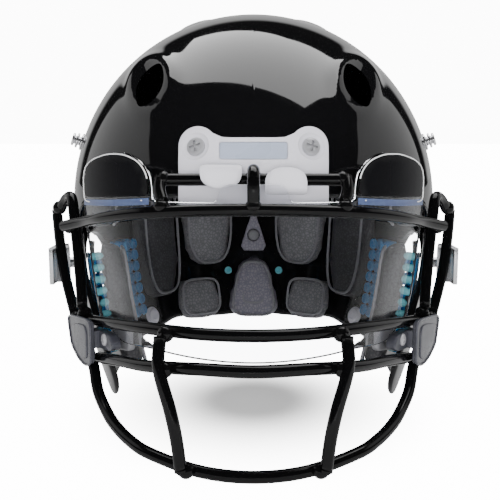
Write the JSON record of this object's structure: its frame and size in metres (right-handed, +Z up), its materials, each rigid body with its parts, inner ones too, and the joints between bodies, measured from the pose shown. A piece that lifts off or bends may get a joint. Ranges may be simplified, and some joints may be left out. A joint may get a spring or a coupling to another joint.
{
  "type": "american football helmet",
  "caption": "Gloss black football helmet with a swing-up wire face guard, clear eye shield, white brow bumper, push-button side clips and a full liner of cushions.",
  "frame": {"origin": "on the floor under the middle of the helmet's box, standing on its chin bar and jaw flaps", "axes": "+Z up, -Y the way the wearer faces, +X the wearer's left"},
  "size_m": [0.2592, 0.3535, 0.2483],
  "materials": {
    "shell_black": "high gloss moulded polycarbonate",
    "wire_black": "gloss black powder coat on steel wire",
    "bumper_white": "satin gloss moulding",
    "plate_grey": "plain satin plate",
    "clip_dark": "satin moulding",
    "clip_silver": "silver gloss moulding",
    "chrome": "polished plate",
    "pad_dark": "smooth flexible skin over cushion",
    "pad_grey": "smooth flexible skin over cushion",
    "cell_blue": "translucent flexible cells",
    "clear": "clear polycarbonate sheet"
  },
  "bodies": {
    "helmet": {"shell": "shell_black", "brow_bumper": "bumper_white", "bumper_nameplate": "plate_grey", "nape_bumper": "shell_black", "brow_pad": "pad_dark", "crown_pad": "pad_dark", "rear_centre_pad": "pad_grey", "occipital_frame": "pad_grey", "frame_button": "pad_dark", "bumper_screw_left": "chrome", "bumper_t_nut_left": "chrome", "strap_stud_upper_left": "chrome", "strap_stud_lower_left": "chrome", "guard_stud_left": "chrome", "rear_lower_pad_left": "pad_dark", "rear_upper_pad_left": "pad_dark", "temple_pad_left": "pad_dark", "side_pad_left": "pad_dark", "jaw_pad_left": "pad_dark", "jaw_cells_left": "cell_blue", "side_cells_left": "cell_blue", "nape_snap_left": "bumper_white", "bumper_screw_right": "chrome", "bumper_t_nut_right": "chrome", "strap_stud_upper_right": "chrome", "strap_stud_lower_right": "chrome", "guard_stud_right": "chrome", "rear_lower_pad_right": "pad_dark", "rear_upper_pad_right": "pad_dark", "temple_pad_right": "pad_dark", "side_pad_right": "pad_dark", "jaw_pad_right": "pad_dark", "jaw_cells_right": "cell_blue", "side_cells_right": "cell_blue", "nape_snap_right": "bumper_white"},
    "face_guard": {"top_bar": "wire_black", "brow_bar": "wire_black", "centre_post": "wire_black", "upper_mouth_bar": "wire_black", "lower_mouth_bar": "wire_black", "chin_bar": "wire_black", "eye_shield": "clear", "outer_side_bar_left": "wire_black", "outer_side_bar_right": "wire_black", "inner_side_bar_left": "wire_black", "inner_side_bar_right": "wire_black", "short_post_left": "wire_black", "short_post_right": "wire_black", "long_vertical_left": "wire_black", "long_vertical_right": "wire_black", "shield_clip_front_left": "clip_dark", "shield_clip_front_right": "clip_dark", "shield_clip_back_left": "clip_dark", "shield_clip_back_right": "clip_dark", "shield_clip_screw_left": "chrome", "shield_clip_screw_right": "chrome", "side_clip_left": "clip_silver", "side_clip_right": "clip_silver"},
    "release_button_left": {"release_button_left": "clip_dark"},
    "release_button_right": {"release_button_right": "clip_dark"}
  },
  "joints": [
    {"name": "face_guard_swing", "type": "hinge", "parent": "helmet", "child": "face_guard", "pos_m": [0, -0.12335, 0.1464], "axis": [-1, 0, 0], "range_deg": [0, 85]},
    {"name": "release_push_left", "type": "slide", "parent": "face_guard", "child": "release_button_left", "axis": [-1, 0, 0], "range_m": [0, 0.002], "stiffness_N_per_m": 400},
    {"name": "release_push_right", "type": "slide", "parent": "face_guard", "child": "release_button_right", "axis": [1, 0, 0], "range_m": [0, 0.002], "stiffness_N_per_m": 400}
  ]
}
